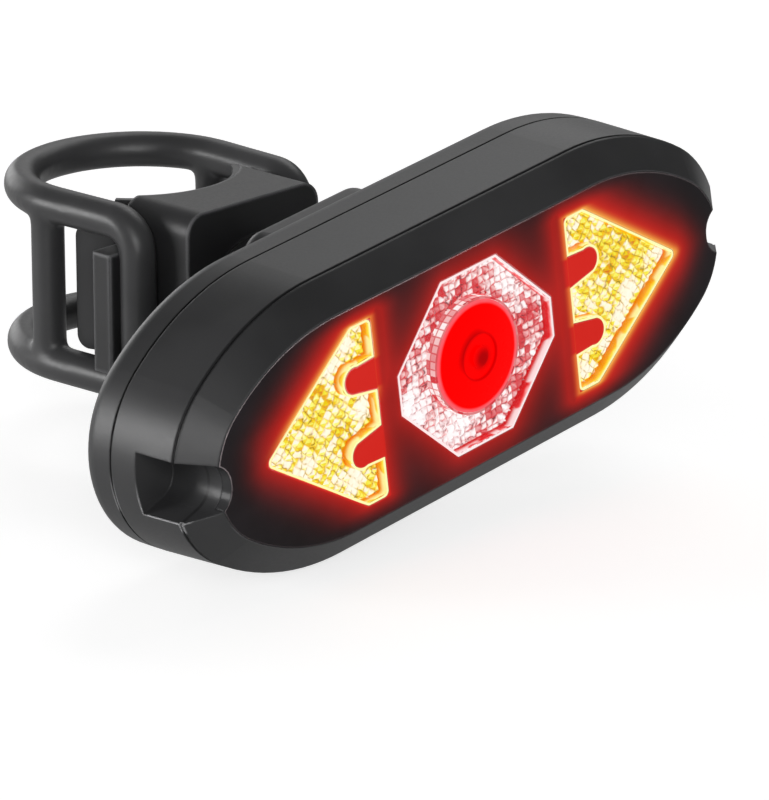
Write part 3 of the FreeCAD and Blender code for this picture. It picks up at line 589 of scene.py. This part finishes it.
def wallGlow(name, look, depth):
    common = wallLook
    board = Board(name)
    place = board.lampPlace()
    x, y, z = board.parts(place)
    wave = board.noise(place, common["wave"], 2.0)
    shift = (wave - 0.5) * common["waveShare"] * board.span(y, *common["waveFrom"])
    # the walls glow with the lamp's own light, and are painted near-white as a highlight at their front
    # edge
    colour = board.ramp(board.clamp(y / depth + shift), look["wall"])
    # painted reflection: long pale glints along the front of the walls
    near, far = common["dashDepth"]
    paintedGlint = board.span(board.noise(place, common["paintedGlint"], 0.0), *common["dashSpan"])
    paintedGlint = paintedGlint * (1.0 - board.span(y, depth * near, depth * far))
    colour = board.blend(paintedGlint * common["dashShare"], colour, look["wall"][0][1])
    ring = 1.0 - board.span(board.sum("SQRT", x * x + z * z), *common["round"])
    colour = board.blend(ring, colour, roundCells(board, x, y, z, look))
    board.set(Base_Color=common["dark"], Roughness=common["rough"] + wave * common["roughShift"],
              Emission_Color=colour, Emission_Strength=1.0)
    board.gloss(common["gloss"])
    return board.material


blockLook = {"wave": 0.6, "rough": 0.1, "roughShift": 0.08, "alpha": 0.35}


def clearBlock(name, tint):
    board = Board(name)
    wave = board.noise(board.lampPlace(), blockLook["wave"], 2.0)
    board.set(Base_Color=board.blend(wave, tint, light(255, 255, 255)),
              Roughness=blockLook["rough"] + wave * blockLook["roughShift"])
    board.finish.inputs["Alpha"].default_value = blockLook["alpha"]
    return board.material


amberBlock = clearBlock("amberBlock", light(255, 170, 40))
amberWall = wallGlow("amberWall", arrowLook, prismLook["depth"])
for side in ("Left", "Right"):
    arrow = prismLens("arrow_lens_" + side.lower(), "arrowLens" + side, (45.0, -45.0), prismLook)
    prisms = prismGlow("amberPrisms" + side, arrowLook, brightSpots[side])
    markFaces(arrow, prismLook, [amberBlock, amberWall, prisms])
    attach(arrow, "lamp")
    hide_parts("arrow_lens_" + side.lower())

hexagon = prismLens("hexagon_reflector", "hexagonLens", (0.0, 90.0), prismLook)
markFaces(hexagon, prismLook, [clearBlock("clearBlock", light(255, 200, 200)),
                               wallGlow("clearWall", hexagonLook, prismLook["depth"]),
                               prismGlow("clearPrisms", hexagonLook, brightSpots["hexagon"])])
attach(hexagon, "lamp")
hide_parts("hexagon_reflector")

coverLook = {"thick": 0.3, "clearance": 0.02, "wave": 0.4, "rough": 0.04, "roughShift": 0.02, "ior": 1.12}


def clearCover(nodeName, pieceName, material):
    # the flush front of a lens, inside its rim
    cover = copyOf(nodeName, pieceName)
    pick(cover, lambda face: bedFace(face, 0.0))
    bpy.ops.mesh.inset(thickness=(prismLook["rim"] + coverLook["clearance"]) / 1000.0, use_even_offset=True)
    bpy.ops.mesh.select_all(action="INVERT")
    bpy.ops.mesh.delete(type="FACE")
    bpy.ops.mesh.select_all(action="SELECT")
    bpy.ops.mesh.solidify(thickness=coverLook["thick"] / 1000.0)
    bpy.ops.mesh.select_all(action="SELECT")
    bpy.ops.mesh.normals_make_consistent(inside=False)
    smooth()
    cover.data.materials.append(material)
    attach(cover, "lamp")


def glassy(name, tint):
    board = Board(name)
    wave = board.noise(board.lampPlace(), coverLook["wave"], 2.0)
    board.set(Base_Color=board.blend(wave, tint, light(255, 255, 255)),
              Roughness=coverLook["rough"] + wave * coverLook["roughShift"])
    board.finish.inputs["Transmission Weight"].default_value = 1.0
    board.finish.inputs["IOR"].default_value = coverLook["ior"]
    return board.material


amberGlass = glassy("amberGlass", light(255, 244, 220))
clearGlass = glassy("clearGlass", light(255, 246, 246))
clearCover("arrow_lens_left", "arrowCoverLeft", amberGlass)
clearCover("arrow_lens_right", "arrowCoverRight", amberGlass)
clearCover("hexagon_reflector", "hexagonCover", clearGlass)
print("stage: lenses")

# Brake lens
brakeLook = {
    "red": light(255, 0, 0), "deep": light(150, 0, 4), "soft": light(250, 110, 120),
    "dark": light(20, 0, 0), "edge": (7.15, 7.65), "haze": 0.5,
    "ring": 3.3, "ringWidth": 0.25, "ringShare": 0.4,
    "broad": (1.0, 5.0), "broadWidth": 0.75, "broadShare": 0.3,
    "middle": (0.5, -0.4), "middleSize": (0.5, 2.1), "middleShare": 0.8,
    "rough": 0.25, "roughShift": 0.06, "gloss": 0.02,
}


def brakeGlow(look):
    board = Board("brakeRed")
    place = board.lampPlace()
    x, y, z = board.parts(place)
    far = board.sum("SQRT", x * x + z * z)
    haze = board.noise(place, look["haze"], 2.0)
    colour = board.blend(board.span(far, *look["edge"]) * (0.5 + haze * 0.5), look["red"], look["soft"])
    # the ring mark is broad and dark towards the upper left, and the middle is dark
    broad = board.span(z - x, *look["broad"])
    ring = board.clamp(1.0 - abs(far - look["ring"]) / (broad * look["broadWidth"] + look["ringWidth"]))
    asideX = x - look["middle"][0]
    asideZ = z - look["middle"][1]
    middle = 1.0 - board.span(board.sum("SQRT", asideX * asideX + asideZ * asideZ), *look["middleSize"])
    marks = ring * (broad * look["broadShare"] + look["ringShare"]) + middle * look["middleShare"]
    colour = board.blend(board.clamp(marks), colour, look["deep"])
    board.set(Base_Color=look["dark"], Roughness=look["rough"] + haze * look["roughShift"],
              Emission_Color=colour, Emission_Strength=1.0)
    board.gloss(look["gloss"])
    return board.material


dress("brake_lens", brakeGlow(brakeLook))
print("stage: brake lens")

# Bracket, pad, strap and swivel
# the bracket's pale edges are mostly a painted highlight, with some scuffing
bracketLook = dict(shellLook, dark=light(36, 36, 37), light=light(46, 46, 47), rough=0.44, edgeReach=0.85,
                   edgeWearAndSheen=0.8, edgeWearSheenColour=light(150, 150, 152))
strapLook = dict(shellLook, dark=light(54, 54, 55), light=light(66, 66, 67), rough=0.38,
                 roughShift=0.12, grainScale=1.4, edgeReach=0.2, edgeWearAndSheen=0.1)
dress("bracket_body", mouldedFinish("bracketPlastic", bracketLook))
strapRubber = mouldedFinish("strapRubber", strapLook)

# The strap's rings and bars are fused and softened into one moulding, which the swell brings back to size
strapSteps = [
    ("REMESH", {"mode": "VOXEL", "voxel_size": 0.00042}),
    ("SMOOTH", {"factor": 0.5, "iterations": 26}),
    ("DISPLACE", {"mid_level": 0.0, "strength": 0.00012}),
]
strap = copyOf("rubber_strap", "strapLoop")
done()
for kind, settings in strapSteps:
    step = strap.modifiers.new(kind.lower(), kind)
    for key, value in settings.items():
        setattr(step, key, value)
    bpy.ops.object.modifier_apply(modifier=step.name)
bpy.ops.object.shade_smooth()
strap.data.materials.clear()
strap.data.materials.append(strapRubber)
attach(strap, "bracket")
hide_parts("rubber_strap")

pad = copyOf("saddle_pad", "saddlePad")
smooth()
pad.data.materials.append(strapRubber)
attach(pad, "bracket")
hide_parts("saddle_pad")
print("stage: bracket")

# Small and inner pieces
steelLook = {
    "cloud": 0.6, "brushed": 9.0, "edgeReach": 0.12, "stain": light(120, 122, 126), "stainShare": 0.4,
    "paleWearAndHighlight": light(235, 236, 240), "wornShare": 0.5, "bump": (0.15, 0.01), "roughShift": 0.2,
    "roughGrain": 0.1,
}
circuitLook = {
    "tracks": 0.4, "track": (0.44, 0.47), "chance": (0.35, 0.4), "copper": light(48, 130, 74), "mask": 0.4,
    "dark": light(12, 66, 38), "light": light(18, 84, 48), "bump": (0.4, 0.04), "rough": 0.38,
    "roughShift": 0.15,
}
sourceLook = {"wave": 1.2, "rough": 0.3, "roughShift": 0.1}
foilLook = {
    "folds": 0.35, "fine": 2.5, "fineShare": 0.15, "dark": light(168, 170, 174),
    "light": light(205, 207, 210), "bump": (0.5, 0.2), "rough": 0.3, "roughShift": 0.15, "metal": 0.9,
}


def steelFinish(name, colour, rough):
    look = steelLook
    board = Board(name)
    place = board.place()
    cloud = board.noise(place, look["cloud"], 3.0)
    brushed = board.noise(place, look["brushed"], 1.0)
    rounded, edge = board.edges(look["edgeReach"])
    shade = board.blend(board.span(cloud, 0.35, 0.7) * look["stainShare"], colour, look["stain"])
    shade = board.blend(edge * look["wornShare"], shade, look["paleWearAndHighlight"])
    rough = rough + (cloud - 0.5) * look["roughShift"] + (brushed - 0.5) * look["roughGrain"]
    board.set(Base_Color=shade, Roughness=rough, Normal=board.bump(brushed, *look["bump"], rounded))
    board.finish.inputs["Metallic"].default_value = 1.0
    return board.material


def circuitFinish(name):
    look = circuitLook
    board = Board(name)
    place = board.lampPlace()
    x, y, z = board.parts(place)
    chance, off = cellsOf(board, x * look["tracks"], z * look["tracks"], 1.3)
    track = board.span(off, *look["track"]) * board.span(chance, *look["chance"])
    mask = board.noise(place, look["mask"], 2.0)
    shade = board.blend(board.span(mask, 0.3, 0.7), look["dark"], look["light"])
    shade = board.blend(track, shade, look["copper"])
    board.set(Base_Color=shade, Roughness=look["rough"] + (mask - 0.5) * look["roughShift"],
              Normal=board.bump(track, *look["bump"]))
    return board.material


def lightSource(name, dark, bright):
    board = Board(name)
    wave = board.noise(board.lampPlace(), sourceLook["wave"], 2.0)
    board.set(Base_Color=dark, Roughness=sourceLook["rough"] + wave * sourceLook["roughShift"],
              Emission_Color=board.blend(wave, dark, bright), Emission_Strength=1.0)
    return board.material


def foilFinish(name):
    look = foilLook
    board = Board(name)
    place = board.lampPlace()
    folds = board.noise(place, look["folds"], 4.0)
    fine = board.noise(place, look["fine"], 2.0)
    shade = board.blend(board.span(folds, 0.3, 0.7), look["dark"], look["light"])
    board.set(Base_Color=shade, Roughness=look["rough"] + (fine - 0.5) * look["roughShift"],
              Normal=board.bump(folds + fine * look["fineShare"], *look["bump"]))
    board.finish.inputs["Metallic"].default_value = look["metal"]
    return board.material


whiteLook = dict(shellLook, dark=light(214, 214, 210), light=light(232, 232, 228),
                 edgeWearSheenColour=light(245, 245, 242), edgeWearAndSheen=0.6, rough=0.5)
paleLook = dict(shellLook, dark=light(190, 190, 186), light=light(206, 206, 202),
                edgeWearSheenColour=light(225, 225, 221), edgeWearAndSheen=0.6)
greyLook = dict(strapLook, dark=light(52, 52, 54), light=light(64, 64, 66), rough=0.6)
blackChip = mouldedFinish("blackChip", dict(shellLook, edgeWearAndSheen=0.6, grainScale=6.0, rough=0.55))
softRubber = mouldedFinish("softRubber", dict(strapLook, rough=0.6, grainScale=3.5, gloss=0.3))
steel = steelFinish("screwSteel", light(178, 180, 184), 0.32)
plated = steelFinish("socketSteel", light(196, 197, 200), 0.22)
innerFinish = {
    "light_baffle": mouldedFinish("whitePlastic", whiteLook), "led_board": circuitFinish("boardGreen"),
    "amber_leds": lightSource("amberSource", light(200, 110, 0), light(255, 220, 120)),
    "red_leds": lightSource("redSource", light(150, 0, 0), light(255, 120, 110)),
    "control_chip": blackChip, "radio_receiver": blackChip, "battery": foilFinish("pouchFoil"),
    "battery_tabs": plated, "button_switch": blackChip, "usb_socket": plated,
    "case_gasket": mouldedFinish("greyRubber", greyLook), "case_screws": steel, "power_button": softRubber,
    "usb_cover": softRubber, "swivel_screw": steel, "swivel_nut": steel,
    "swivel_washer": mouldedFinish("palePlastic", paleLook),
}
for name, material in innerFinish.items():
    dress(name, material)
print("stage: small pieces")

# Camera, at the photograph's viewing angle: degrees, metres, and shifts in pixels of the frame's height
viewLook = {"azimuth": -47.0, "height": 17.8, "distance": 0.8907, "lens": 297.0, "sensor": 36.0,
            "shift": (-92.6, -44.2), "frame": 800.0}
azimuth = math.radians(viewLook["azimuth"])
height = math.radians(viewLook["height"])
flatShare = math.cos(height)
sight = Vector((math.sin(azimuth) * flatShare, -math.cos(azimuth) * flatShare, math.sin(height)))
lensData = bpy.data.cameras.new("photoView")
lensData.lens = viewLook["lens"]
lensData.sensor_width = viewLook["sensor"]
lensData.shift_x, lensData.shift_y = (shift / viewLook["frame"] for shift in viewLook["shift"])
camera = bpy.data.objects.new("photoView", lensData)
camera.location = Vector((0.0, lampFrame["lensPlane"] / 1000.0, 0.0)) + sight * viewLook["distance"]
camera.rotation_euler = sight.to_track_quat("Z", "Y").to_euler()
bpy.context.scene.collection.objects.link(camera)
bpy.context.scene.camera = camera

# Floor, just under the lamp; glossy pieces mirror only a part of its brightness
floorLook = {"gap": 0.0005, "size": 12.0, "lift": 0.73, "colour": 0.53, "mirrored": 0.35, "rough": 0.9}
bpy.ops.object.select_all(action="DESELECT")
floorHeight = cadBounds[0][2] - floorLook["gap"]
bpy.ops.mesh.primitive_plane_add(size=floorLook["size"], location=(0.0, 0.0, floorHeight))
floor = bpy.context.object
floor.name = "floor"


def floorPaint(look):
    board = Board("floorPaint")
    rays = board.nodes.new("ShaderNodeLightPath")
    seen = Value(board, rays.outputs["Is Camera Ray"]) + Value(board, rays.outputs["Is Transmission Ray"])
    seen = board.clamp(seen + Value(board, rays.outputs["Is Glossy Ray"]) * look["mirrored"])
    glow = board.blend(seen, (0.0, 0.0, 0.0, 1.0), (look["lift"],) * 3 + (1.0,))
    board.set(Base_Color=(look["colour"],) * 3 + (1.0,), Roughness=look["rough"], Emission_Color=glow,
              Emission_Strength=1.0)
    return board.material


floor.data.materials.append(floorPaint(floorLook))

# Soft lamps: place in metres, size in metres, power in watts
lampTarget = (0.0, -0.06, 0.0)
softLamps = [
    ("keyLamp", (0.9, 0.3, 1.0), (1.0, 0.7), 4.6),
    ("backLamp", (0.85, 0.75, 0.45), (0.6, 0.6), 0.8),
    ("rearLamp", (0.3, 1.4, 0.25), (1.0, 0.8), 6.0),
    ("sideLamp", (-0.96, 0.8, 0.16), (0.5, 0.5), 10.0),
    ("frontLamp", (-0.85, -1.1, 0.3), (0.8, 0.8), 9.4),
    ("fillLamp", (-1.1, -0.9, 0.9), (0.9, 0.9), 3.4),
]
for name, place, size, power in softLamps:
    data = bpy.data.lights.new(name, "AREA")
    data.shape = "RECTANGLE"
    data.size, data.size_y = size
    data.energy = power
    lamp = bpy.data.objects.new(name, data)
    lamp.location = place
    lamp.rotation_euler = (Vector(place) - Vector(lampTarget)).to_track_quat("Z", "Y").to_euler()
    bpy.context.scene.collection.objects.link(lamp)

# World: dim for the object, white where the camera sees it
worldLook = {"room": 0.1, "seen": 1.0}
world = bpy.data.worlds.new("studio")
bpy.context.scene.world = world
world.use_nodes = True
worldNodes = world.node_tree
worldNodes.nodes.clear()
rays = worldNodes.nodes.new("ShaderNodeLightPath")
pickSky = worldNodes.nodes.new("ShaderNodeMixShader")
worldNodes.links.new(rays.outputs["Is Camera Ray"], pickSky.inputs[0])
for socket, strength in ((1, worldLook["room"]), (2, worldLook["seen"])):
    sky = worldNodes.nodes.new("ShaderNodeBackground")
    sky.inputs[0].default_value = (1.0, 1.0, 1.0, 1.0)
    sky.inputs[1].default_value = strength
    worldNodes.links.new(sky.outputs[0], pickSky.inputs[socket])
skyOut = worldNodes.nodes.new("ShaderNodeOutputWorld")
worldNodes.links.new(pickSky.outputs[0], skyOut.inputs[0])

bpy.context.scene.view_settings.view_transform = "Standard"
print("stage: studio")
